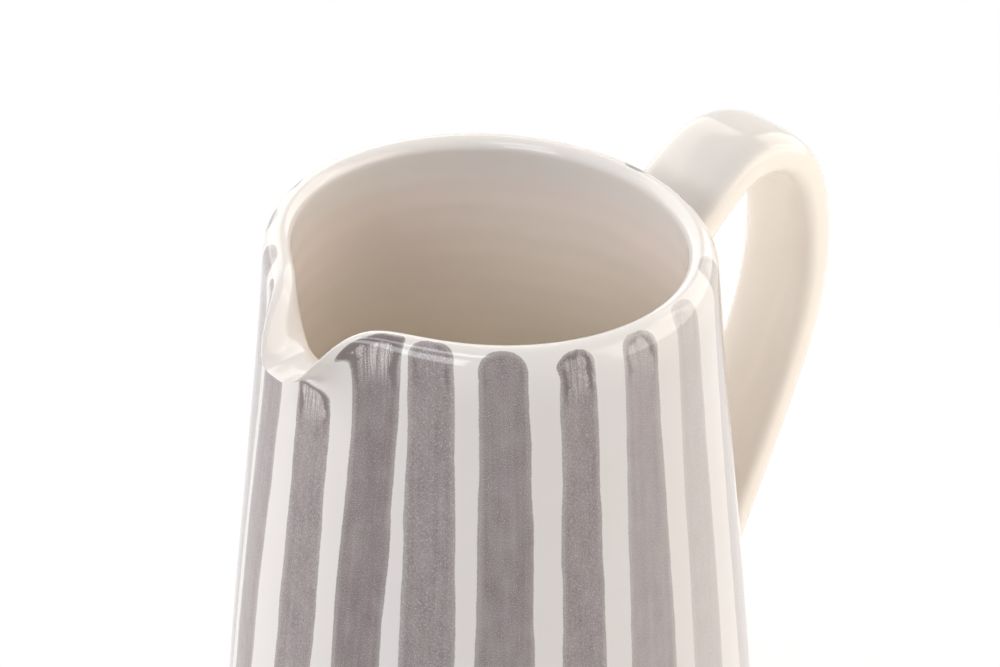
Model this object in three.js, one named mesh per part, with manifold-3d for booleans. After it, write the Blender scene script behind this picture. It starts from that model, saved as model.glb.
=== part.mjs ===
// A thrown jug with a pulled spout and a pulled strap handle, luted on with slip.
// Millimetres, +Z up, origin at the centre of the base. Handle towards +X, spout towards -X.
import * as THREE from "three";
import { mergeVertices } from "three/addons/utils/BufferGeometryUtils.js";
import Module from "manifold-3d";

const wasm = await Module();
wasm.setup();

// Body as it comes off the wheel
const RIM_HEIGHT = 205;
const MOUTH_RADIUS = 43.3; // crest of the lip
const LIP_INSIDE = 2.4; // from the crest to the inner face
const LIP_OUTSIDE = 3.8; // from the crest to the outer face, which rounds over more slowly
const LIP_FALL = 6; // height of that outer rounding
const WALL = 4.8; // at the belly
const NECK_SLOPE = THREE.MathUtils.degToRad(5.2); // lean of the wall under the lip
const BELLY_RADIUS = 62; // outer face at its widest
const BELLY_HEIGHT = 30;
const BASE_RADIUS = 55.5; // edge of the flat base, over the bevel
const BASE_BEVEL = 1.6;
const FLOOR = 6.5;
const FLOOR_RADIUS = 41.2; // where the floor turns up into the wall

// Mouth, squeezed oval while it is soft, and the spout pulled out of its lip
const SQUEEZE = 0.043; // share of the radius taken off along X and added along Y
const SQUEEZE_DEPTH = 110; // below the rim, where the wall is round again
const SPOUT_PULL = 14.3;
const SPOUT_DROP = 11;
const SPOUT_DEPTH = 25; // below the rim, where the pull ends
const SPOUT_HALF_ANGLE = THREE.MathUtils.degToRad(14.4); // on each side, where half of the pull is left
const SPOUT_LEAN = THREE.MathUtils.degToRad(13); // the finger drags the tip a little towards -Y

// Handle strap, measured on its centreline and across its middle
const HANDLE_REACH = 84.3; // from the axis to the outermost point
const HANDLE_RISE = -1.2; // top of the centreline over the rim
const CROWN_REACH = 67.2;
const OUTERMOST_DROP = 30.2; // below the rim
const UPPER_JOIN_DROP = 17.2;
const LOWER_JOIN_DROP = 117.5;
const STRAP_WIDTH = 22.5;
const STRAP_THICKNESS = 10.3;
const STRAP_TAPER = 0.22; // share of the thickness that is lost towards the lower end
const STRAP_SQUARENESS = 3; // 2 is an ellipse, higher is boxier
const UPPER_FLARE = 2; // width added where the strap meets the wall
const LOWER_FLARE = 6;
const FLARE_LENGTH = 16;
const SUNK_END = 6; // how far both ends run on into the wall, where they are cut to it

// Slip between strap and wall
const SLIP = 0.9;
const SLIP_BEAD = 1.4; // squeezed out round the end of the strap
const GAP = 0.3; // clearance that keeps touching pieces apart

// Mesh steps
const TURNS = 90;
const CROWDING = 0.5; // 0 spaces the columns evenly
const STRAP_STEPS = 56;
const STRAP_SIDES = 28;

const CERAMIC = { roughness: 0.22, metalness: 0 };
const glaze = new THREE.MeshStandardMaterial({ color: 0xe9e2d9, ...CERAMIC });
const slipClay = new THREE.MeshStandardMaterial({ color: 0xe4dbd0, ...CERAMIC });

// Lip, rounded over on both sides of its crest until it leans as the wall below it does.
const outerLip = new THREE.EllipseCurve(
  MOUTH_RADIUS, RIM_HEIGHT - LIP_FALL, LIP_OUTSIDE, LIP_FALL,
  Math.atan((LIP_FALL / LIP_OUTSIDE) * Math.tan(NECK_SLOPE)), Math.PI / 2,
);
const innerLip = new THREE.EllipseCurve(
  MOUTH_RADIUS, RIM_HEIGHT - LIP_INSIDE, LIP_INSIDE, LIP_INSIDE,
  Math.PI / 2, Math.PI + NECK_SLOPE,
);
const OUTSIDE = { belly: BELLY_RADIUS, lip: outerLip.getPoint(0) };
const INSIDE = { belly: BELLY_RADIUS - WALL, lip: innerLip.getPoint(1) };

// Wall between belly and lip, as a curve in radius and height, on its outer or its inner face.
function wallCurve(face) {
  const belly = new THREE.Vector2(face.belly, BELLY_HEIGHT);
  const { lip } = face;
  const rise = lip.y - belly.y;
  const neck = 0.42 * rise;
  return new THREE.CubicBezierCurve(
    belly,
    new THREE.Vector2(belly.x, belly.y + 0.27 * rise),
    new THREE.Vector2(lip.x + neck * Math.tan(NECK_SLOPE), lip.y - neck),
    lip,
  );
}

// Points up the wall, closer together towards the lip, where the spout bends it.
function wallRows(face, count) {
  const curve = wallCurve(face);
  return Array.from({ length: count + 1 }, (_, i) => curve.getPoint(1 - (1 - i / count) ** 1.9));
}

// Rounded turn from the flat base or floor up to the belly; the lift tilts its start upwards.
function bellyTurn(face, edgeRadius, edgeHeight, lift) {
  const edge = new THREE.Vector2(edgeRadius, edgeHeight);
  const belly = new THREE.Vector2(face.belly, BELLY_HEIGHT);
  const out = belly.x - edge.x;
  const up = belly.y - edge.y;
  return new THREE.CubicBezierCurve(
    edge,
    new THREE.Vector2(edge.x + 0.6 * out, edge.y + lift * up),
    new THREE.Vector2(belly.x, belly.y - 0.5 * up),
    belly,
  );
}

// Closed profile of the thrown wall: base, outside, lip, inside, floor.
function thrownProfile() {
  const inside = [
    ...bellyTurn(INSIDE, FLOOR_RADIUS, FLOOR, 0).getPoints(6),
    ...wallRows(INSIDE, 14).slice(1, -1),
  ];
  return [
    ...outsideProfile(0),
    ...outerLip.getPoints(6).slice(1),
    ...innerLip.getPoints(5).slice(1),
    ...inside.reverse(),
    new THREE.Vector2(0, FLOOR),
  ];
}

// Outer face from the centre of the base up to the lip, moved out by the growth.
function outsideProfile(growth) {
  const grown = (p) => new THREE.Vector2(p.x + growth, p.y);
  return [
    new THREE.Vector2(0, 0),
    grown(new THREE.Vector2(BASE_RADIUS - BASE_BEVEL, 0)),
    ...bellyTurn(OUTSIDE, BASE_RADIUS, BASE_BEVEL, 0.22).getPoints(6).map(grown),
    ...wallRows(OUTSIDE, 18).slice(1).map(grown),
  ];
}

function smooth(t) {
  return THREE.MathUtils.smoothstep(t, 0, 1);
}

// What the hands do to a soft point of the thrown wall: squeeze the mouth, then pull the spout.
function shapeByHand(v) {
  const depth = RIM_HEIGHT - v.z;
  const squeeze = SQUEEZE * (1 - smooth(depth / SQUEEZE_DEPTH));
  v.x *= 1 - squeeze;
  v.y *= 1 + squeeze;
  const soft = Math.max(0, 1 - depth / SPOUT_DEPTH);
  const turn = Math.abs(Math.atan2(v.y, -v.x)) / SPOUT_HALF_ANGLE;
  const across = 1 / (1 + turn ** 4.4);
  const pull = SPOUT_PULL * across * soft ** 3.5;
  v.x -= pull * Math.cos(SPOUT_LEAN);
  v.y -= pull * Math.sin(SPOUT_LEAN);
  v.z -= SPOUT_DROP * (across * soft) ** 1.85;
  return v;
}

// A profile turned on the wheel and then shaped by hand; its columns crowd towards the spout.
function thrown(profile) {
  const geometry = new THREE.LatheGeometry(profile, TURNS).rotateX(Math.PI / 2);
  const position = geometry.getAttribute("position");
  const upright = new THREE.Vector3(0, 0, 1);
  const v = new THREE.Vector3();
  for (let i = 0; i < position.count; i++) {
    v.fromBufferAttribute(position, i);
    v.applyAxisAngle(upright, CROWDING * Math.sin(Math.atan2(v.y, v.x)));
    shapeByHand(v);
    position.setXYZ(i, v.x, v.y, v.z);
  }
  return geometry;
}

// The outer wall as a filled block, grown outwards, to fit the handle and its slip against.
function wallBlock(growth) {
  const profile = outsideProfile(growth);
  profile.push(new THREE.Vector2(0, OUTSIDE.lip.y));
  return solid(thrown(profile));
}

// Centreline of the strap in the XZ plane, from inside the wall over the crown and down into the wall.
function strapCentreline() {
  const at = (x, drop) => new THREE.Vector3(x, 0, RIM_HEIGHT - drop);
  const root = at(MOUTH_RADIUS, UPPER_JOIN_DROP);
  const crown = at(CROWN_REACH, -HANDLE_RISE);
  const outermost = at(HANDLE_REACH, OUTERMOST_DROP);
  const foot = at(BELLY_RADIUS - 1.6 * WALL, LOWER_JOIN_DROP);
  const span = crown.x - root.x;
  const shoulder = crown.z - outermost.z;
  const fall = outermost.z - foot.z;
  const leaving = new THREE.Vector3(0.41 * span, 0, 0.32 * span);
  const arriving = new THREE.Vector3(0.18 * fall, 0, 0.49 * fall);
  const sunk = (end, direction) => end.clone().sub(direction.clone().setLength(SUNK_END));
  const path = new THREE.CurvePath();
  path.add(new THREE.LineCurve3(sunk(root, leaving), root));
  path.add(new THREE.CubicBezierCurve3(
    root,
    root.clone().add(leaving),
    crown.clone().add(new THREE.Vector3(-0.33 * span, 0, 0)),
    crown,
  ));
  path.add(new THREE.CubicBezierCurve3(
    crown,
    crown.clone().add(new THREE.Vector3(0.69 * (outermost.x - crown.x), 0, 0)),
    outermost.clone().add(new THREE.Vector3(0, 0, 0.65 * shoulder)),
    outermost,
  ));
  path.add(new THREE.CubicBezierCurve3(
    outermost,
    outermost.clone().add(new THREE.Vector3(0, 0, -0.26 * fall)),
    foot.clone().add(arriving),
    foot,
  ));
  path.add(new THREE.LineCurve3(foot, sunk(foot, arriving)));
  return path;
}

// Share of the flare that is left at a distance along the strap from its end.
function fading(distance) {
  return Math.exp(-((distance / FLARE_LENGTH) ** 2));
}

// Rounded strap section, swept along a stretch of the centreline and flared towards both ends.
function strap(from, to, growth) {
  const path = strapCentreline();
  const length = path.getLength();
  const steps = Math.round(STRAP_STEPS * (to - from));
  const sideways = new THREE.Vector3(0, 1, 0);
  const power = 2 / STRAP_SQUARENESS;
  const rounded = (c) => Math.sign(c) * Math.abs(c) ** power;
  const points = [];
  for (let i = 0; i <= steps; i++) {
    const t = from + ((to - from) * i) / steps;
    const centre = path.getPointAt(t);
    const outward = path.getTangentAt(t).cross(sideways);
    const flare = UPPER_FLARE * fading(t * length) + LOWER_FLARE * fading((1 - t) * length);
    const halfWidth = (STRAP_WIDTH + flare) / 2 + growth;
    const halfThickness = (STRAP_THICKNESS * (1 - STRAP_TAPER * t) + 0.6 * flare) / 2 + growth;
    for (let k = 0; k < STRAP_SIDES; k++) {
      const turn = (2 * Math.PI * k) / STRAP_SIDES;
      points.push(centre.clone()
        .addScaledVector(sideways, halfWidth * rounded(Math.cos(turn)))
        .addScaledVector(outward, halfThickness * rounded(Math.sin(turn))));
    }
  }
  return loft(points, STRAP_SIDES);
}

// Closed skin over a row of rings that hold the same number of points.
function loft(points, sides) {
  const index = [];
  const rings = points.length / sides;
  for (let i = 0; i + 1 < rings; i++) {
    for (let k = 0; k < sides; k++) {
      const a = i * sides + k;
      const b = i * sides + ((k + 1) % sides);
      index.push(a, b, a + sides, b, b + sides, a + sides);
    }
  }
  const last = (rings - 1) * sides;
  for (let k = 1; k + 1 < sides; k++) {
    index.push(0, k + 1, k, last, last + k, last + k + 1);
  }
  return new THREE.BufferGeometry().setFromPoints(points).setIndex(index);
}

function solid(geometry) {
  const bare = geometry.clone();
  bare.deleteAttribute("normal");
  bare.deleteAttribute("uv");
  const merged = mergeVertices(bare, 1e-3);
  const corners = merged.index.array;
  const triVerts = [];
  for (let i = 0; i < corners.length; i += 3) {
    const [a, b, c] = corners.slice(i, i + 3);
    if (a !== b && b !== c && c !== a) triVerts.push(a, b, c);
  }
  return new wasm.Manifold(new wasm.Mesh({
    numProp: 3,
    vertProperties: merged.getAttribute("position").array,
    triVerts: new Uint32Array(triVerts),
  }));
}

function geometryOf(manifold) {
  const mesh = manifold.getMesh();
  const geometry = new THREE.BufferGeometry();
  geometry.setAttribute("position", new THREE.BufferAttribute(mesh.vertProperties, 3));
  geometry.setIndex(new THREE.BufferAttribute(mesh.triVerts, 1));
  return geometry;
}

function piece(name, geometry, material) {
  const mesh = new THREE.Mesh(geometry, material);
  mesh.name = name;
  return mesh;
}

// Slip layer that follows the wall under one end of the strap.
function slipJoin(from, to) {
  const end = solid(strap(from, to, SLIP_BEAD));
  return geometryOf(end.intersect(wallBlock(GAP + SLIP)).subtract(wallBlock(GAP)));
}

const handle = solid(strap(0, 1, 0)).subtract(wallBlock(GAP + SLIP + GAP));

const jug = new THREE.Group();
jug.name = "jug";
jug.add(
  piece("body", thrown(thrownProfile()), glaze),
  piece("handle", geometryOf(handle), glaze),
  piece("upper_slip_join", slipJoin(0, 0.25), slipClay),
  piece("lower_slip_join", slipJoin(0.75, 1), slipClay),
);

export default jug;
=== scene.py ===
import math

import bpy
import numpy as np
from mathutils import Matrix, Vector
from mathutils.bvhtree import BVHTree


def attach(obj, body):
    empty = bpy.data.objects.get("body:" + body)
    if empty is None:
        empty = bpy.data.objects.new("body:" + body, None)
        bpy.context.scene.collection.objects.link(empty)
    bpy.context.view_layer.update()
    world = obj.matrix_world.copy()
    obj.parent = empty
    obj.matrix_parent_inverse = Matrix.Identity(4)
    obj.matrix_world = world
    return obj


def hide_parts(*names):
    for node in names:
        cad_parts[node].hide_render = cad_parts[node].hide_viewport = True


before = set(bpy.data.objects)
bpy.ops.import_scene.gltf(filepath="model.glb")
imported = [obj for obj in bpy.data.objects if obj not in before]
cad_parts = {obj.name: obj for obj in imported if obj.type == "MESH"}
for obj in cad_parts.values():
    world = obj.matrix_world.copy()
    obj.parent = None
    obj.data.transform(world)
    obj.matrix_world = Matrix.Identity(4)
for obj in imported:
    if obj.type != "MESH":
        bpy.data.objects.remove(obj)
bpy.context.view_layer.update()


# The body. One lump of white clay, thrown on the wheel as a tapering wall with a rounded lip.
# While it is soft, the mouth is squeezed oval and a finger pulls the spout out of the lip.
# It is painted with a broad brush, glazed ivory all over and wiped bare under the foot.
BODY = {
    "Rim Height": 0.205,
    "Mouth Radius": 0.0433,  # crest of the lip
    "Lip Inside": 0.0024,  # from the crest to the inner face
    "Lip Outside": 0.0038,  # from the crest to the outer face
    "Lip Fall": 0.006,  # height of the outer rounding
    "Wall": 0.0048,  # at the belly
    "Neck Slope": math.radians(5.2),
    "Belly Radius": 0.062,
    "Belly Height": 0.030,
    "Base Radius": 0.0555,
    "Base Bevel": 0.0016,
    "Floor": 0.0065,
    "Floor Radius": 0.0412,
    "Squeeze": 0.043,
    "Squeeze Depth": 0.110,
    "Spout Pull": 0.0143,
    "Spout Drop": 0.011,
    "Spout Depth": 0.025,
    "Spout Half Angle": math.radians(14.4),
    "Spout Lean": math.radians(13),
    "Ring Pitch": 0.0068,  # rise of the thrower's fingers in one turn
    "Ring Height": 0.00003,
    "Wobble": 0.0005,
}
BODY_COLUMNS = 257
BODY_ROWS = 300
FOOT_ROWS = 28
ROW_CROWDING = 1.8  # rows stand closer together at the crest of the lip
FOOT_CROWDING = 3  # and at the bevel of the base
COLUMN_CROWDING = 0.5  # and columns at the spout
ROUND = 0.5523  # handle length of a curve that stands for a quarter circle
NECK_STRAIGHT = 0.42  # shares of the wall's rise that stay nearly straight, under the lip
BELLY_STRAIGHT = 0.27  # and above the belly
TURN_OUT = 0.6  # handle lengths of the turn at the foot, as shares of its width
TURN_UP = 0.5  # and of its height
BASE_LIFT = 0.22  # rise of the outer turn's first handle, as a share of the height
SPOUT_SIDES = 4.4  # power: the higher, the steeper the sides of the spout
SPOUT_FADE = 3.5  # power: the higher, the sooner its pull dies out below the lip
SPOUT_DIP = 1.85  # power: the higher, the narrower the dip in the lip
RING_DRIFT = 9  # radians by which the thrower's rings may stray from an even spiral
RINGS_OUTSIDE = 0.2  # share of their height that shows outside
PEEL_DEPTH = 0.00012  # of the orange peel in the glaze
PEEL_STRENGTH = 0.25
PEEL_FINE = 420.0  # scales of noise, in waves to the metre
PEEL_BROAD = 90.0
GLAZE_PATCHES = 34.0
GLOSS_PATCHES = 55.0
GLOSS = 0.07  # roughness where the glaze is smoothest
GLOSS_SPREAD = 0.06
GLAZE_IOR = 1.52
WELD = 2e-6
GLAZE = (0.685, 0.652, 0.645, 1)
GLAZE_POOLED = (0.668, 0.63, 0.605, 1)
# painted light: paler on the lip, where its top catches the light
LIP_PAINTED_LIGHT = (0.745, 0.713, 0.688, 1)
GLAZE_INSIDE = (0.85, 0.76, 0.71, 1)  # paler than outside, to stand for the bounced light in the picture
# painted warm bounced light: paler and warmer deep inside
DEEP_PAINTED_BOUNCE = (0.95, 0.865, 0.745, 1)
LIP_ZONE = (14, 3)  # in millimetres along the wall below the crest, negative inside
INSIDE_ZONE = (-18, -4)
DEEP_ZONE = (-55, -12)
PIGMENT_MAUVE = (0.185, 0.140, 0.150, 1)
PIGMENT_GREY = (0.210, 0.180, 0.172, 1)
BARE_CLAY = (0.62, 0.53, 0.44, 1)
BARE_CLAY_PALE = (0.70, 0.61, 0.51, 1)
BARE_HEIGHT = (0.0018, 0.0022)  # where the bare foot ends
BARE_SWAY = 0.002  # how unevenly it is wiped
BARE_ROUGHNESS = 0.7  # on top of the glaze's


class Wire:
    """An output in a node tree. Arithmetic on it adds Math nodes, and add() any other node."""

    def __init__(self, tree, socket=None):
        self.tree = tree
        self.socket = socket

    def add(self, kind, settings=None, inputs=None, output=0):
        """A new node: its settings first, then the values or links of its sockets."""
        node = self.tree.nodes.new(kind)
        for name, value in (settings or {}).items():
            setattr(node, name, value)
        for key, value in (inputs or {}).items():
            for part in value if isinstance(value, list) else [value]:
                if isinstance(part, Wire):
                    self.tree.links.new(part.socket, node.inputs[key])
                else:
                    node.inputs[key].default_value = part
        return Wire(self.tree, node.outputs[output] if node.outputs else None)

    def out(self, name):
        return Wire(self.tree, self.socket.node.outputs[name])

    def math(self, operation, *others):
        return self.add("ShaderNodeMath", {"operation": operation}, dict(enumerate((self, *others))))

    def smooth(self, low, high):
        """Rises softly from 0 at low to 1 at high."""
        return self.add("ShaderNodeMapRange", {"interpolation_type": "SMOOTHSTEP"},
                        {0: self, 1: low, 2: high})

    def split(self):
        parts = self.add("ShaderNodeSeparateXYZ", inputs={0: self})
        return parts, parts.out("Y"), parts.out("Z")

    def join(self, x, y, z):
        return self.add("ShaderNodeCombineXYZ", inputs={0: x, 1: y, 2: z})

    def mix(self, low, high):
        """A colour between two others, with this value as the factor."""
        return self.add("ShaderNodeMix", {"data_type": "RGBA"}, {0: self, 6: low, 7: high}, 2)

    def noise(self, scale, detail=2.0):
        return self.add("ShaderNodeTexNoise", inputs={"Vector": self, "Scale": scale, "Detail": detail})

    def __add__(self, other):
        return self.math("ADD", other)

    def __sub__(self, other):
        return self.math("SUBTRACT", other)

    def __rsub__(self, other):
        return self.add("ShaderNodeMath", {"operation": "SUBTRACT"}, {0: other, 1: self})

    def __mul__(self, other):
        return self.math("MULTIPLY", other)

    def __truediv__(self, other):
        return self.math("DIVIDE", other)

    def __rtruediv__(self, other):
        return self.add("ShaderNodeMath", {"operation": "DIVIDE"}, {0: other, 1: self})

    def __pow__(self, other):
        return self.math("POWER", other)

    __radd__ = __add__
    __rmul__ = __mul__


def shape_tree(name, sizes):
    """A Geometry Nodes tree with a named input for each size and one for the material."""
    tree = bpy.data.node_groups.new(name, "GeometryNodeTree")
    for size in sizes:
        tree.interface.new_socket(size, in_out="INPUT", socket_type="NodeSocketFloat")
    tree.interface.new_socket("Material", in_out="INPUT", socket_type="NodeSocketMaterial")
    tree.interface.new_socket("Geometry", in_out="OUTPUT", socket_type="NodeSocketGeometry")
    inputs = Wire(tree).add("NodeGroupInput")
    return {size: inputs.out(size) for size in sizes}


def shaped(name, skin, sizes, material):
    """The plain mesh object that a tree makes: its skin welded, smooth and in its material."""
    welded = skin.add("GeometryNodeMergeByDistance", inputs={"Geometry": skin, "Distance": WELD})
    smooth = skin.add("GeometryNodeSetShadeSmooth", inputs={"Geometry": welded})
    real = skin.add("GeometryNodeRealizeInstances", inputs={"Geometry": smooth})
    group = next(node for node in skin.tree.nodes if node.bl_idname == "NodeGroupInput")
    finish = Wire(skin.tree, group.outputs["Material"])
    dressed = skin.add("GeometryNodeSetMaterial", inputs={"Geometry": real, "Material": finish})
    skin.add("NodeGroupOutput", inputs={"Geometry": dressed})
    piece = bpy.data.objects.new(name, bpy.data.meshes.new(name))
    bpy.context.scene.collection.objects.link(piece)
    modifier = piece.modifiers.new("shape", "NODES")
    modifier.node_group = skin.tree
    values = {**sizes, "Material": material}
    for item in skin.tree.interface.items_tree:
        if item.in_out == "INPUT":
            modifier[item.identifier] = values[item.name]
    evaluated = piece.evaluated_get(bpy.context.evaluated_depsgraph_get())
    mesh = bpy.data.meshes.new_from_object(evaluated)
    piece.modifiers.remove(modifier)
    piece.data = mesh
    return piece


def bezier(wire, start, leaving, arriving, end):
    """A curve in the XZ plane through four points, each a pair of X and Z."""
    corners = [wire.join(x, 0, z) for x, z in (start, leaving, arriving, end)]
    names = ("Start", "Start Handle", "End Handle", "End")
    return wire.add("GeometryNodeCurvePrimitiveBezierSegment", {"mode": "POSITION"},
                    {"Resolution": 96, **dict(zip(names, corners))})


def between(start, end, share):
    """The point at that share of the way from start to end."""
    return tuple(a + (b - a) * share for a, b in zip(start, end))


def straight(wire, start, end):
    return bezier(wire, start, between(start, end, 1 / 3), between(start, end, 2 / 3), end)


def joined(wire, parts):
    """Geometry in the order of its parts; a socket that takes many links puts the newest first."""
    return wire.add("GeometryNodeJoinGeometry", inputs={"Geometry": parts[::-1]})


def length_of(curve):
    return curve.add("GeometryNodeCurveLength", inputs={"Curve": curve})


def grid(wire, columns, rows):
    """A flat net and, for each of its points, a column from 0 to 1 and a row from -1 to 1."""
    net = wire.add("GeometryNodeMeshGrid",
                   inputs={"Size X": 1.0, "Size Y": 2.0, "Vertices X": columns, "Vertices Y": rows})
    column, row, _ = wire.add("GeometryNodeInputPosition").split()
    return net, column + 0.5, row


def sampled(curve, share):
    """Position and direction at a share of a curve's length."""
    place = curve.add("GeometryNodeSampleCurve", {"mode": "FACTOR", "use_all_curves": True},
                      {"Curves": curve, "Factor": share}, "Position")
    return place, place.out("Tangent")


def stored(net, name, value):
    """Keeps a value on the corners of the net's faces, where a seam can hold two."""
    return net.add("GeometryNodeStoreNamedAttribute", {"data_type": "FLOAT", "domain": "CORNER"},
                   {"Geometry": net, "Name": name, "Value": value})


size = shape_tree("thrown_body", BODY)
rim, mouth, wall = size["Rim Height"], size["Mouth Radius"], size["Wall"]
belly, belly_height = size["Belly Radius"], size["Belly Height"]
base, bevel = size["Base Radius"], size["Base Bevel"]
lean = size["Neck Slope"].math("TANGENT")


def lip_arc(across, fall, first, last):
    """The lip's rounding between two angles of an ellipse: 0 faces out, a quarter turn is the crest."""
    reach = ((last - first) / 4).math("TANGENT") * (4 / 3)

    def place(angle, step):
        cosine, sine = angle.math("COSINE"), angle.math("SINE")
        return mouth + (cosine - sine * step) * across, rim + (sine + cosine * step - 1) * fall

    return place(first, 0), place(first, reach), place(last, reach * -1), place(last, 0)


def wall_points(foot, top):
    """The wall from the belly up to the lip, on its outer or its inner face."""
    rise = top[1] - belly_height
    neck = rise * NECK_STRAIGHT
    return ((foot, belly_height), (foot, belly_height + rise * BELLY_STRAIGHT),
            (top[0] + neck * lean, top[1] - neck), top)


def turn_points(edge, height, foot, lift):
    """The rounded turn from the flat base or floor up to the belly."""
    out, up = foot - edge, belly_height - height
    return ((edge, height), (edge + out * TURN_OUT, height + up * lift),
            (foot, belly_height - up * TURN_UP), (foot, belly_height))


crest_angle = size["Neck Slope"] * 0 + math.pi / 2
lip_fall, lip_inside = size["Lip Fall"], size["Lip Inside"]
outer_start = (lip_fall / size["Lip Outside"] * lean).math("ARCTANGENT")
outer_lip = lip_arc(size["Lip Outside"], lip_fall, outer_start, crest_angle)
inner_lip = lip_arc(lip_inside, lip_inside, crest_angle, size["Neck Slope"] + math.pi)
floor_edge, floor_height = size["Floor Radius"], size["Floor"]
outside = [bezier(rim, *points) for points in
           (turn_points(base, bevel, belly, BASE_LIFT), wall_points(belly, outer_lip[0]), outer_lip)]
inside = [bezier(rim, *points) for points in
          (inner_lip, wall_points(belly - wall, inner_lip[-1])[::-1],
           turn_points(floor_edge, floor_height, belly - wall, 0)[::-1])]
inside.append(straight(rim, (floor_edge, floor_height), (floor_edge * 0, floor_height)))
underside = [straight(rim, (base * 0, base * 0), (base - bevel, base * 0)),
             bezier(rim, (base - bevel, base * 0), (base - bevel * (1 - ROUND), base * 0),
                    (base, bevel * (1 - ROUND)), (base, bevel))]


def thrown(net, column, share, profile, below):
    """Turns a profile on the wheel, marks it with the fingers and then shapes the soft clay by hand."""
    angle = column * (2 * math.pi)
    angle = angle + angle.math("SINE") * COLUMN_CROWDING
    place, direction = sampled(profile, share)
    radius, _, height = place.split()
    inward, _, upward = direction.split()
    spiral = (below / size["Ring Pitch"] + angle / (2 * math.pi)) * (2 * math.pi)
    shaky = rim.join(radius * angle.math("COSINE"), radius * angle.math("SINE"), height)
    drift = shaky.noise(14.0)
    shows = below.smooth(0.004, -0.02) + RINGS_OUTSIDE
    rings = (spiral + drift * RING_DRIFT).math("SINE") * size["Ring Height"] * shows
    swell = (drift - 0.5) * size["Wobble"]
    proud = (rings * radius.smooth(0.004, 0.02) + swell) * height.smooth(bevel, belly_height)
    radius = radius + proud * upward
    height = height - proud * inward
    x, y = radius * angle.math("COSINE"), radius * angle.math("SINE")
    depth = rim - height
    squeeze = size["Squeeze"] * (1 - (depth / size["Squeeze Depth"]).smooth(0, 1))
    x, y = x * (1 - squeeze), y * (1 + squeeze)
    soft = (1 - depth / size["Spout Depth"]).math("MAXIMUM", 0)
    turn = y.math("ARCTAN2", x * -1).math("ABSOLUTE") / size["Spout Half Angle"]
    across = 1 / (1 + turn ** SPOUT_SIDES)
    pull = size["Spout Pull"] * across * soft ** SPOUT_FADE
    x = x - pull * size["Spout Lean"].math("COSINE")
    y = y - pull * size["Spout Lean"].math("SINE")
    z = height - size["Spout Drop"] * (across * soft) ** SPOUT_DIP
    net = stored(stored(net, "around", angle * math.degrees(1)), "below", below)
    return net.add("GeometryNodeSetPosition", inputs={"Geometry": net, "Position": rim.join(x, y, z)})


profile = joined(rim, outside + inside)
profile_length = length_of(profile)
crest = length_of(joined(rim, outside)) / profile_length
net, column, row = grid(rim, BODY_COLUMNS, BODY_ROWS)
side = crest + row.math("GREATER_THAN", 0) * (1 - crest * 2)
share = crest + row.math("SIGN") * row.math("ABSOLUTE") ** ROW_CROWDING * side
wall_skin = thrown(net, column, share, profile, (crest - share) * profile_length)
net, column, row = grid(rim, BODY_COLUMNS, FOOT_ROWS)
share = 1 - (0.5 - row * 0.5) ** FOOT_CROWDING
foot_skin = thrown(net, column, share, joined(rim, underside), crest * profile_length)


def material(name):
    """A new material; gives a wire in its tree and its surface shader."""
    new = bpy.data.materials.new(name)
    new.use_nodes = True
    surface = next(node for node in new.node_tree.nodes if node.bl_idname == "ShaderNodeBsdfPrincipled")
    return new, Wire(new.node_tree), surface


def glazed(wire, surface, colour, roughness):
    """Gives a surface the glassy finish of a fired glaze, with its faint orange peel."""
    spot = wire.add("ShaderNodeTexCoord", output="Object")
    peel = spot.noise(PEEL_FINE, 1.0) * 0.5 + spot.noise(PEEL_BROAD, 1.0)
    relief = {"Strength": PEEL_STRENGTH, "Distance": PEEL_DEPTH, "Height": peel}
    bump = wire.add("ShaderNodeBump", inputs=relief)
    for key, value in (("Base Color", colour), ("Roughness", roughness), ("Normal", bump)):
        wire.tree.links.new(value.socket, surface.inputs[key])
    surface.inputs["IOR"].default_value = GLAZE_IOR


def gloss(spot):
    """The roughness of the glaze, uneven in patches."""
    return spot.noise(GLOSS_PATCHES) * GLOSS_SPREAD + GLOSS


def ivory(spot):
    """The colour of the glaze outside, a little darker and warmer in patches."""
    return (spot.noise(GLAZE_PATCHES, 3.0).smooth(0.42, 0.75) * 0.55).mix(GLAZE, GLAZE_POOLED)


painted_glaze, wire, surface = material("painted_glaze")
spot = wire.add("ShaderNodeTexCoord", output="Object")


def kept(name):
    """The three values that the mesh keeps under this name."""
    return wire.add("ShaderNodeAttribute", {"attribute_name": name}, output="Vector").split()


# Lengths on the strokes are in millimetres.
FLANK_SWAY = 1.2  # how far the sides of a stroke wander
FRAY = 0.25  # how far its edge is frayed
EDGE_SOFT = 0.12  # half the width of its soft edge
START_ZONE = (5.0, 13.0)  # where the loaded start gives way to the even run
LIFT_ZONE = (182, 204)  # where the brush lifts, as the wall turns in to the foot
# Every noise is shifted by the stroke's number, so that no two strokes are alike. x runs across a stroke,
# below runs down from its start, and edge is negative inside it.
x, below, number = kept("stroke")
half_width, strength, load = kept("brush")
roundness, tip, below_crest = kept("brush_start")
flank = wire.join(number * 5.3 + x.math("SIGN") * 2.1, below * 0.06, 4.0).noise(1.0, 2.0) - 0.5
fray = wire.join(x, below, number * 9.1).noise(1.4, 2.0) - 0.5
below = below - (x * -1).math("MAXIMUM", 0) * tip * 0.2
dragged = tip * (1 - x.smooth(-1, 1)) * (((below - 2.0) / 1.9) ** 2 * -1).math("EXPONENT")
reach = half_width + flank * FLANK_SWAY + dragged
cap = half_width * roundness
over_side = x.math("ABSOLUTE") - reach + cap
over_start = cap - below
corner = (over_side.math("MAXIMUM", 0) ** 2 + over_start.math("MAXIMUM", 0) ** 2).math("SQRT")
edge = corner + over_side.math("MAXIMUM", over_start).math("MINIMUM", 0) - cap + fray * FRAY
mask = 1 - edge.smooth(-EDGE_SOFT, EDGE_SOFT)
streaks = wire.join(x * 0.9, below * 0.03, number * 6.3).noise(1.0, 3.0)
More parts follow.
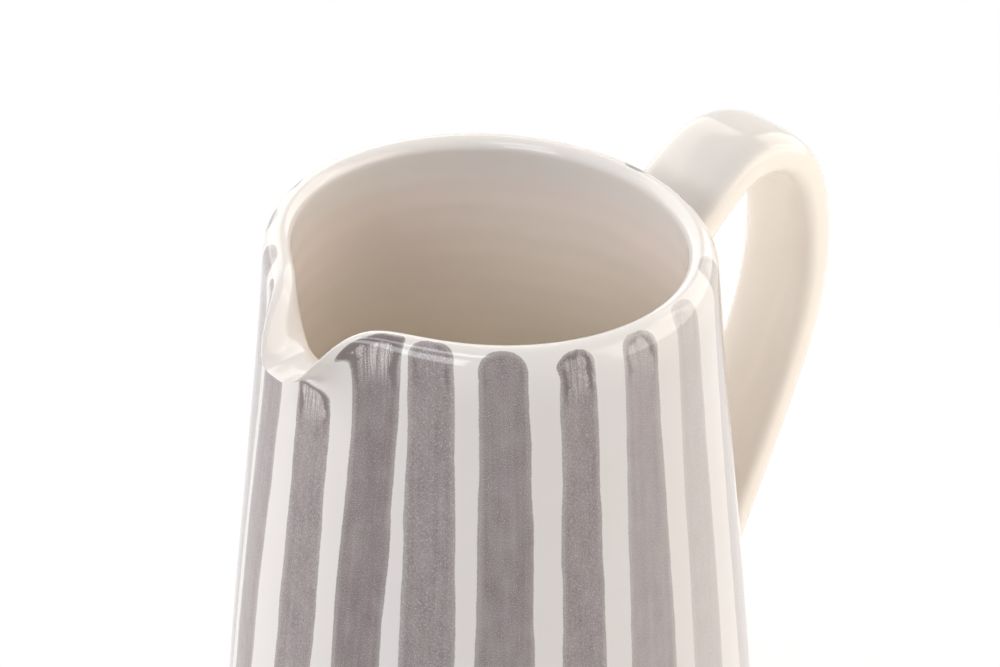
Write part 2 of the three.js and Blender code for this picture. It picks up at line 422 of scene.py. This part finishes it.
bristles = wire.join(x * 2.6, below * 0.09, number * 3.3).noise(1.0, 2.0)
mottle = wire.join(x, below * 0.6, number * 8.9).noise(0.3, 3.0)
grain = wire.join(x, below * 0.8, number * 4.9).noise(4.6, 1.0)
worms = (wire.join(x, below, number * 7.7).noise(1.3, 1.0) - 0.5).math("ABSOLUTE").smooth(0.022, 0.006)
worms = worms * mottle.smooth(0.45, 0.65) * grain.smooth(0.42, 0.6)
start = 1 - below.smooth(*START_ZONE)
ragged = edge + (mottle - 0.5) * 4
pooled = (1 - (ragged + 1.0).math("ABSOLUTE").smooth(0.2, 1.2)) * load * start
drawn = (bristles * 0.7 + grain * 0.3).smooth(0.38, 0.62)
bare_patch = (1 - ragged.smooth(-2.5, -1.3)) * drawn * load * load * start
density = 0.84 + (streaks - 0.5) * 0.22 + (mottle - 0.5) * 0.24
density = density - edge.smooth(-1.3, -0.2) * 0.12
density = density - grain.smooth(0.54, 0.72) * 0.26 + (1 - grain).smooth(0.56, 0.72) * 0.1 - worms * 0.2
density = density + pooled * 0.45 - bare_patch * 0.5 - edge.smooth(-1.5, -0.3) * load * start * 0.25
ends = wire.join(number * 7.1, 0.0, 2.0).noise(1.0, 0.0)
dry = (below_crest + (bristles - 0.5) * 16 + (ends - 0.5) * 20).smooth(*LIFT_ZONE)
density = (density * strength * (1 - dry)).math("MAXIMUM", 0).math("MINIMUM", 1)
hue = wire.join(x, below * 0.3, number * 1.3).noise(0.3, 2.0)
pigment = (hue.smooth(0.35, 0.65) * 0.4 + edge.smooth(-1.8, -0.3) * 0.6).mix(PIGMENT_MAUVE, PIGMENT_GREY)
# The lip is painted paler: painted light, where its top catches the light.
on_lip = below_crest.smooth(*LIP_ZONE)
plain = on_lip.mix(ivory(spot), LIP_PAINTED_LIGHT)
# Inside the jug the glaze is painted paler, and deeper down paler and warmer still: painted bounced light.
plain = (1 - below_crest.smooth(*INSIDE_ZONE)).mix(plain, GLAZE_INSIDE)
plain = (1 - below_crest.smooth(*DEEP_ZONE)).mix(plain, DEEP_PAINTED_BOUNCE)
painted = (mask * density).mix(plain, pigment)
height = spot.split()[2]
bare = 1 - (height + (spot.noise(60.0) - 0.5) * BARE_SWAY).smooth(*BARE_HEIGHT)
clay = spot.noise(900.0, 3.0).mix(BARE_CLAY, BARE_CLAY_PALE)
glazed(wire, surface, bare.mix(painted, clay), bare * BARE_ROUGHNESS + gloss(spot))

body = shaped("body_painted", joined(rim, [wall_skin, foot_skin]), BODY, painted_glaze)

# Brush strokes round the jug, each in its own brackets. In degrees from the handle: at the lip and a
# stroke's run lower. In millimetres: half the width at the lip and a run lower, and the start below the
# crest. Then the strength of the pigment, how much of it the loaded brush left at the start, how round the
# start is, and a tip in millimetres that the brush dragged out to the left there. The strokes on the side
# that the picture shows follow it; the rest continue them round the back.
STROKE_RUN = 70
STROKES = (
    (4.5, 6, 3.6, 4.6, -0.2, 0.95, 0.3, 0.8, 0), (23, 24, 4.3, 5.3, 1.4, 1.0, 0.5, 0.8, 0),
    (41, 41, 4.1, 5.6, 1.6, 0.85, 0.2, 0.9, 0), (59, 60, 4.5, 5.6, 1.8, 0.9, 0.6, 0.8, 0.3),
    (77.5, 77, 4.3, 5.2, 1.0, 0.95, 0.3, 0.9, 0), (96, 97, 4.4, 5.7, 1.2, 1.0, 0.4, 0.8, 0),
    (115, 114, 4.1, 5.4, 0.8, 0.95, 0.7, 0.8, 0.5), (133, 132, 4.3, 5.5, 1.1, 0.8, 0.2, 0.8, 0),
    (152, 148, 4.2, 5.2, 0.7, 0.78, 0.1, 0.8, 0), (165.5, 161.8, 4.2, 5.2, 1.4, 0.95, 0.1, 0.8, 0),
    (183, 183, 4.3, 5.6, 16.2, 1.0, 1.0, 0.7, 0), (202, 200.6, 4.8, 5.75, 0.2, 1.12, 1.0, 0.3, 2.4),
    (215.3, 217.3, 4.45, 5.8, 0.3, 1.0, 0.2, 0.85, 0), (232.8, 234.4, 4.8, 6.05, 1.1, 1.02, 0.1, 0.95, 0),
    (250.9, 252.1, 3.75, 4.8, 2.0, 0.96, 0.72, 0.8, 0.7), (268.4, 269.9, 4.25, 6.0, 1.7, 0.78, 0.6, 0.8, 0),
    # The low strength of the strokes at 286 and 308 degrees is painted glare, paler where light washes out
    # that side.
    (286.4, 287.8, 4.1, 5.4, 0.6, 0.46, 0.2, 0.8, 0), (308.5, 308.3, 4.4, 5.2, -0.2, 0.5, 0.3, 0.8, 0),
    (326, 327, 4.3, 5.4, 3.2, 0.8, 0.4, 0.8, 0), (344, 345, 4.1, 5.1, 1.4, 1.0, 0.3, 0.9, 0),
)


def corner_values(mesh, name):
    values = np.zeros(len(mesh.loops), np.float32)
    mesh.attributes[name].data.foreach_get("value", values)
    return values


def keep_on_corners(mesh, name, *columns):
    attribute = mesh.attributes.new(name, "FLOAT_VECTOR", "CORNER")
    attribute.data.foreach_set("vector", np.stack(columns, 1).astype(np.float32).ravel())


lip_angles, low_angles, lip_halves, low_halves, starts, strengths, loads, rounds, tips = np.array(STROKES).T
around = corner_values(body.data, "around")
below_crest = corner_values(body.data, "below") * 1000
run = np.clip(below_crest / STROKE_RUN, 0, 1)
middles = lip_angles + (low_angles - lip_angles) * run[:, None]
middles = np.concatenate([middles[:, -1:] - 360, middles, middles[:, :1] + 360], 1)
face = np.repeat(np.arange(len(body.data.polygons)), [polygon.loop_total for polygon in body.data.polygons])
off = np.abs(middles - around[:, None])
corners_of_face = np.bincount(face)[:, None]
off = np.stack([np.bincount(face, column) for column in off.T], 1) / corners_of_face
column = off.argmin(1)[face]
nearest = (column - 1) % len(STROKES)
points = np.array([vertex.co for vertex in body.data.vertices])
corner_points = points[[loop.vertex_index for loop in body.data.loops]]
radii = np.hypot(corner_points[:, 0], corner_points[:, 1]) * 1000
aside = np.radians(around - middles[np.arange(len(around)), column]) * radii
half_widths = lip_halves[nearest] + (low_halves - lip_halves)[nearest] * run
keep_on_corners(body.data, "stroke", aside, below_crest - starts[nearest], nearest)
keep_on_corners(body.data, "brush", half_widths, strengths[nearest], loads[nearest])
keep_on_corners(body.data, "brush_start", rounds[nearest], tips[nearest], below_crest)
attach(body, "root")
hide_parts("body")


# The handle. A strap of the same clay, pulled out by hand, bent over and left plain under the ivory glaze.
# It springs from just below the rim, swings out over the hand's knuckles and comes down on the wall.
# Its ends are flared by the thumb that presses them on.
HANDLE = {
    "Rim Height": BODY["Rim Height"],
    "Upper Reach": BODY["Mouth Radius"],
    "Upper Drop": 0.0172,
    "Crown Reach": 0.0672,
    "Crown Drop": 0.0012,
    "Outer Reach": 0.0843,
    "Outer Drop": 0.0302,
    "Lower Reach": BODY["Belly Radius"] - 1.6 * BODY["Wall"],
    "Lower Drop": 0.1175,
    "Width": 0.0225,
    "Thickness": 0.0103,
    "Squareness": 3.0,  # 2 is an ellipse, higher is boxier
    "Upper Flare": 0.002,
    "Lower Flare": 0.006,
    "Flare Length": 0.016,
    "Taper": 0.22,
    "Sunk End": 0.006,  # how far both ends run on into the wall
    "Upper Wall": 0.0431,  # radius of the middle of the wall, where the ends are trimmed
    "Lower Wall": 0.0558,
    "Unevenness": 0.0005,
}
STRAP_INNER_PAINTED_BOUNCE = (0.95, 0.885, 0.80, 1)  # paler, as painted bounced light, for the same reason as inside the jug
STRAP_GLAZE_OUTER = (0.685, 0.653, 0.615, 1)
STRAP_SIDES = 65
STRAP_ROWS = 180
LAST_ROW = 1e-4  # share of the path in which a row closes to a point
FLARE_THICKENS = 0.6  # share of the flare by which a pressed end also thickens
UPPER_END = (0.788, 0.615)  # directions in which the ends run on into the wall
LOWER_END = (0.345, 0.939)
ROOT_LEAVES = (0.41, 0.32)  # handles of the curves at the root and the crown, as shares of the span
CROWN_ARRIVES = 0.33
CROWN_LEAVES = 0.69  # share of the way out from the crown
OUTER_ARRIVES = 0.65  # share of the shoulder
OUTER_LEAVES = 0.26  # shares of the fall
FOOT_ARRIVES = (0.18, 0.49)
GLAZE_TURN = (-0.2, 0.9)  # from the inner face's painted bounced light to the outer glaze, in the sine of the angle round the strap

size = shape_tree("pulled_strap", HANDLE)
top = size["Rim Height"]
root = (size["Upper Reach"], top - size["Upper Drop"])
crown = (size["Crown Reach"], top - size["Crown Drop"])
outermost = (size["Outer Reach"], top - size["Outer Drop"])
foot = (size["Lower Reach"], top - size["Lower Drop"])
span = crown[0] - root[0]
shoulder = crown[1] - outermost[1]
fall = outermost[1] - foot[1]
sunk = size["Sunk End"]
path = joined(top, [
    straight(top, (root[0] - sunk * UPPER_END[0], root[1] - sunk * UPPER_END[1]), root),
    bezier(top, root, (root[0] + span * ROOT_LEAVES[0], root[1] + span * ROOT_LEAVES[1]),
           (crown[0] - span * CROWN_ARRIVES, crown[1]), crown),
    bezier(top, crown, between(crown, (outermost[0], crown[1]), CROWN_LEAVES),
           (outermost[0], outermost[1] + shoulder * OUTER_ARRIVES), outermost),
    bezier(top, outermost, (outermost[0], outermost[1] - fall * OUTER_LEAVES),
           (foot[0] + fall * FOOT_ARRIVES[0], foot[1] + fall * FOOT_ARRIVES[1]), foot),
    straight(top, foot, (foot[0] - sunk * LOWER_END[0], foot[1] - sunk * LOWER_END[1])),
])
path_length = length_of(path)
net, column, row = grid(top, STRAP_SIDES, STRAP_ROWS)
along = row * 0.5 + 0.5
place, direction = sampled(path, along)
ahead, _, climb = direction.split()
angle = column * (2 * math.pi)


def flared(amount, distance):
    """Width that the pressed end adds, less with the distance from it."""
    return amount * ((distance * path_length / size["Flare Length"]) ** 2 * -1).math("EXPONENT")


flare = flared(size["Upper Flare"], along) + flared(size["Lower Flare"], 1 - along)
closed = along.math("GREATER_THAN", LAST_ROW) * along.math("LESS_THAN", 1 - LAST_ROW)


def rounded(turned):
    """One coordinate of the strap's section, between an ellipse and a box."""
    return turned.math("SIGN") * turned.math("ABSOLUTE") ** (2 / size["Squareness"])


sideways = rounded(angle.math("COSINE")) * (size["Width"] + flare) * 0.5 * closed
thickness = size["Thickness"] * (1 - size["Taper"] * along) + flare * FLARE_THICKENS
outward = rounded(angle.math("SINE")) * thickness * 0.5 * closed
x, _, z = place.split()
x, z = x - outward * climb, z + outward * ahead
uneven = (top.join(x, sideways, z).noise(55.0) - 0.5) * size["Unevenness"] * closed
x, z = x - uneven * climb, z + uneven * ahead
in_wall = size["Upper Wall"] + (size["Lower Wall"] - size["Upper Wall"]) * along.math("GREATER_THAN", 0.5)
x = x.math("MAXIMUM", (in_wall ** 2 - sideways ** 2).math("SQRT"))
net = stored(net, "row", along * (STRAP_ROWS - 1))
net = stored(net, "column", column * (STRAP_SIDES - 1))
moved = top.join(x, sideways, z)
strap_skin = net.add("GeometryNodeSetPosition", inputs={"Geometry": net, "Position": moved})

plain_glaze, wire, surface = material("plain_glaze")
spot = wire.add("ShaderNodeTexCoord", output="Object")
turned = wire.add("ShaderNodeAttribute", {"attribute_name": "column"}, output="Fac")
turned = turned * (2 * math.pi / (STRAP_SIDES - 1))
# The inner face is painted paler than the outer: painted bounced light.
outer = (turned.math("SINE") + (spot.noise(GLAZE_PATCHES, 3.0) - 0.5) * 0.6).smooth(*GLAZE_TURN)
glazed(wire, surface, outer.mix(STRAP_INNER_PAINTED_BOUNCE, STRAP_GLAZE_OUTER), gloss(spot))
handle = shaped("handle_strap", strap_skin, HANDLE, plain_glaze)
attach(handle, "root")
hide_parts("handle")


# The slip joins. Wet clay holds each end of the strap to the wall; a fingertip draws what squeezes out
# into a small hollow fillet all round, and the glaze runs over it in one skin.
WALL_REACH = 0.0024  # of the fillet along the wall
STRAP_REACH = 0.0042  # and along the strap
FILLET_STEPS = 16
SUNK = 0.0004  # depth of its hidden back in the clay
EDGE_SUNK = 0.00012  # and of its thin edges
PROUD = 0.0001  # how far it stands off wall and strap between them
EDGE_SHARE = 0.14  # part of the fillet in which an edge comes up
SEAM_PASSES = 6
RING_PASSES = 4


def strap_lines(piece):
    """The strap's lengthwise lines, as points by row and column."""
    rows = np.round(corner_values(piece.data, "row")).astype(int)
    columns = np.round(corner_values(piece.data, "column")).astype(int) % (STRAP_SIDES - 1)
    corners = [loop.vertex_index for loop in piece.data.loops]
    lines = np.zeros((STRAP_ROWS, STRAP_SIDES - 1, 3))
    lines[rows, columns] = np.array([vertex.co for vertex in piece.data.vertices])[corners]
    return lines


def meets_wall(line, wall_tree):
    """Where a line that comes in from outside reaches the wall, and the next row."""
    for row in range(1, len(line)):
        start, end = Vector(line[row - 1]), Vector(line[row])
        hit = wall_tree.ray_cast(start, end - start, (end - start).length)[0]
        if hit:
            return np.array(hit), row
    raise ValueError("the strap doesn't reach the wall")


def back_along(line, row, start, distance):
    """The point at a distance from start, back along the rows before that row."""
    for point in line[row - 1::-1]:
        step = np.linalg.norm(point - start)
        if step >= distance:
            return start + (point - start) * distance / step
        distance -= step
        start = point
    return start


def evened(points, passes):
    """A closed row of points with its small jolts taken out."""
    for _ in range(passes):
        points = (np.roll(points, 1, 0) + 2 * points + np.roll(points, -1, 0)) / 4
    return points


def laid_on(tree, points):
    """The nearest points of a surface, and its normals there."""
    found = [tree.find_nearest(Vector(point)) for point in points]
    return np.array([place for place, _, _, _ in found]), np.array([normal for _, normal, _, _ in found])


def slip_join(name, lines, wall_tree):
    """A closed ring of slip round the last rows of these lines, hollow towards wall and strap."""
    met = [meets_wall(line, wall_tree) for line in lines]
    seam, normals = laid_on(wall_tree, evened(np.array([hit for hit, _ in met]), SEAM_PASSES))
    along = np.roll(seam, -1, 0) - np.roll(seam, 1, 0)
    away = np.cross(normals, along)
    away = evened(away / np.linalg.norm(away, axis=1)[:, None], RING_PASSES)
    away *= np.sign(((seam - seam.mean(0)) * away).sum(1).mean())
    on_wall, wall_normals = laid_on(wall_tree, seam + away * WALL_REACH)
    on_strap = [back_along(line, row, hit, STRAP_REACH) for line, (hit, row) in zip(lines, met)]
    on_strap = evened(np.array(on_strap), RING_PASSES)
    share = np.linspace(0, 1, FILLET_STEPS)[:, None, None]
    risen = np.clip(np.minimum(share, 1 - share) / EDGE_SHARE, 0, 1) * (PROUD + EDGE_SUNK) - EDGE_SUNK
    hollow = (1 - share) ** 2 * on_wall + 2 * share * (1 - share) * seam + share ** 2 * on_strap
    rings = list(hollow + (wall_normals * (1 - share) + away * share) * risen)
    hidden = seam - normals * SUNK - away * SUNK
    rings.append(hidden)
    count, sides = len(rings), len(seam)
    faces = [(i * sides + k, i * sides + (k + 1) % sides,
              (i + 1) % count * sides + (k + 1) % sides, (i + 1) % count * sides + k)
             for i in range(count) for k in range(sides)]
    mesh = bpy.data.meshes.new(name)
    mesh.from_pydata(np.concatenate(rings).tolist(), [], faces)
    mesh.shade_smooth()
    mesh.materials.append(plain_glaze)
    bare_edges = {0, count - 2}
    for edge in mesh.edges:
        first, second = (vertex // sides for vertex in edge.vertices)
        edge.use_edge_sharp = first == second and first in bare_edges
    piece = bpy.data.objects.new(name, mesh)
    bpy.context.scene.collection.objects.link(piece)
    outward = mesh.polygons[0].normal.dot(Vector(normals[0]))
    if outward < 0:
        mesh.flip_normals()
    # Each corner keeps its column, so that the strap's glaze runs on; column 0 closes the ring as the last.
    columns = np.array([loop.vertex_index % sides for loop in mesh.loops]).reshape(-1, 4)
    last = columns.max(1, keepdims=True) == sides - 1
    columns[last & (columns == 0)] = sides
    attribute = mesh.attributes.new("column", "FLOAT", "CORNER")
    attribute.data.foreach_set("value", columns.ravel().astype(np.float32))
    return piece


wall_tree = BVHTree.FromObject(body, bpy.context.evaluated_depsgraph_get())
lines = strap_lines(handle).transpose(1, 0, 2)
QUARTER = STRAP_ROWS // 4
for node, rows in (("upper_slip_join", slice(QUARTER, 0, -1)), ("lower_slip_join", slice(-QUARTER, -1))):
    slip = slip_join(node.replace("_slip", "") + "_fillet", lines[:, rows], wall_tree)
    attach(slip, "root")
    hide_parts(node)


# The stage: a pale table that fades to white with the distance, under soft panels.
TABLE_SIZE = 6
TABLE_COLOUR = (0.95, 0.945, 0.935, 1)
FADE_START = 0.08
FADE_END = 0.45
NEAR_WHITE = 0.7  # share of white that the eye gets close to the jug; the rest shows its shadow


def plainly_seen(wire):
    """1 for rays from the eye, also by way of gloss or glass, and 0 for those of diffuse light."""
    rays = wire.add("ShaderNodeLightPath")
    seen = rays.out("Is Camera Ray") + rays.out("Is Glossy Ray") + rays.out("Is Transmission Ray")
    return seen.math("MINIMUM", 1)


bpy.ops.mesh.primitive_plane_add(size=TABLE_SIZE)
table = bpy.context.object
table.name = "table"
table_top, wire, surface = material("table_top")
table.data.materials.append(table_top)
seen = plainly_seen(wire)
across, along, _ = wire.add("ShaderNodeTexCoord", output="Object").split()
far = (across ** 2 + along ** 2).math("SQRT").smooth(FADE_START, FADE_END)
surface.inputs["Base Color"].default_value = TABLE_COLOUR
surface.inputs["Roughness"].default_value = 0.9
white = wire.add("ShaderNodeEmission", inputs={"Color": (1, 1, 1, 1), "Strength": 1.0})
lit = Wire(wire.tree, surface.outputs[0])
faded = seen * (far * (1 - NEAR_WHITE) + NEAR_WHITE)
both = wire.add("ShaderNodeMixShader", inputs={0: faded, 1: lit, 2: white})
out = next(node for node in wire.tree.nodes if node.bl_idname == "ShaderNodeOutputMaterial")
wire.tree.links.new(both.socket, out.inputs["Surface"])

AMBIENT = 0.14
world = bpy.data.worlds.new("studio")
bpy.context.scene.world = world
world.use_nodes = True
wire = Wire(world.node_tree)
seen = plainly_seen(wire)
backdrop = next(node for node in world.node_tree.nodes if node.bl_idname == "ShaderNodeBackground")
backdrop.inputs["Color"].default_value = (1, 1, 1, 1)
world.node_tree.links.new((seen * (1 - AMBIENT) + AMBIENT).socket, backdrop.inputs["Strength"])


def panel(name, place, aim, width, height, radiance, colour, mirrored):
    """A soft lamp that looks at a point and is as bright at any size."""
    lamp = bpy.data.lights.new(name, "AREA")
    lamp.shape = "RECTANGLE"
    lamp.size = width
    lamp.size_y = height
    lamp.energy = radiance * math.pi * width * height
    lamp.color = colour
    holder = bpy.data.objects.new(name, lamp)
    holder.visible_glossy = mirrored
    holder.location = place
    holder.rotation_euler = (Vector(aim) - Vector(place)).to_track_quat("-Z", "Y").to_euler()
    bpy.context.scene.collection.objects.link(holder)


rim_centre = Vector((0, 0, 0.2026))
# Each has its place, width, height, radiance and colour, and whether the glaze mirrors it.
LAMPS = (
    ("window low", (-0.80, -0.262, 0.525), 0.45, 0.3, 5.1, (0.91, 0.945, 1), True),
    ("window high", (-0.527, -0.171, 0.912), 0.45, 0.2, 5.1, (0.91, 0.945, 1), True),
    ("right", (0.9, 0.05, 0.6), 0.9, 0.9, 1.95, (1, 0.96, 0.89), True),
    ("front right", (0.7, -0.75, 0.55), 1.2, 1.0, 2.2, (1, 0.92, 0.83), True),
    ("back", (0.05, 1.05, 0.62), 1.4, 1.1, 1.6, (1, 0.97, 0.9), True),
    ("left back", (-0.75, 0.7, 0.6), 1.2, 1.0, 1.7, (1, 0.96, 0.94), False),
    ("above", (0.15, -0.35, 1.5), 1.1, 0.9, 1.3, (1, 0.95, 0.92), False),
)
for name, place, width, height, radiance, colour, mirrored in LAMPS:
    panel(name, place, rim_centre, width, height, radiance, colour, mirrored)

CAMERA_AZIMUTH = math.radians(-38)
CAMERA_ELEVATION = math.radians(29.6)
CAMERA_DISTANCE = 0.62
CAMERA_AIM = Vector((0.00168, -0.00132, 0.1814))
FOCAL_PIXELS = 3041
PICTURE_WIDTH = 1000
camera = bpy.data.cameras.new("camera")
camera.sensor_width = 36
camera.lens = camera.sensor_width * FOCAL_PIXELS / PICTURE_WIDTH
eye = bpy.data.objects.new("camera", camera)
level = math.cos(CAMERA_ELEVATION)
eye.location = rim_centre + CAMERA_DISTANCE * Vector((
    math.sin(CAMERA_AZIMUTH) * level, -math.cos(CAMERA_AZIMUTH) * level, math.sin(CAMERA_ELEVATION)))
eye.rotation_euler = (CAMERA_AIM - eye.location).to_track_quat("-Z", "Y").to_euler()
bpy.context.scene.collection.objects.link(eye)
bpy.context.scene.camera = eye
bpy.context.scene.view_settings.view_transform = "Standard"
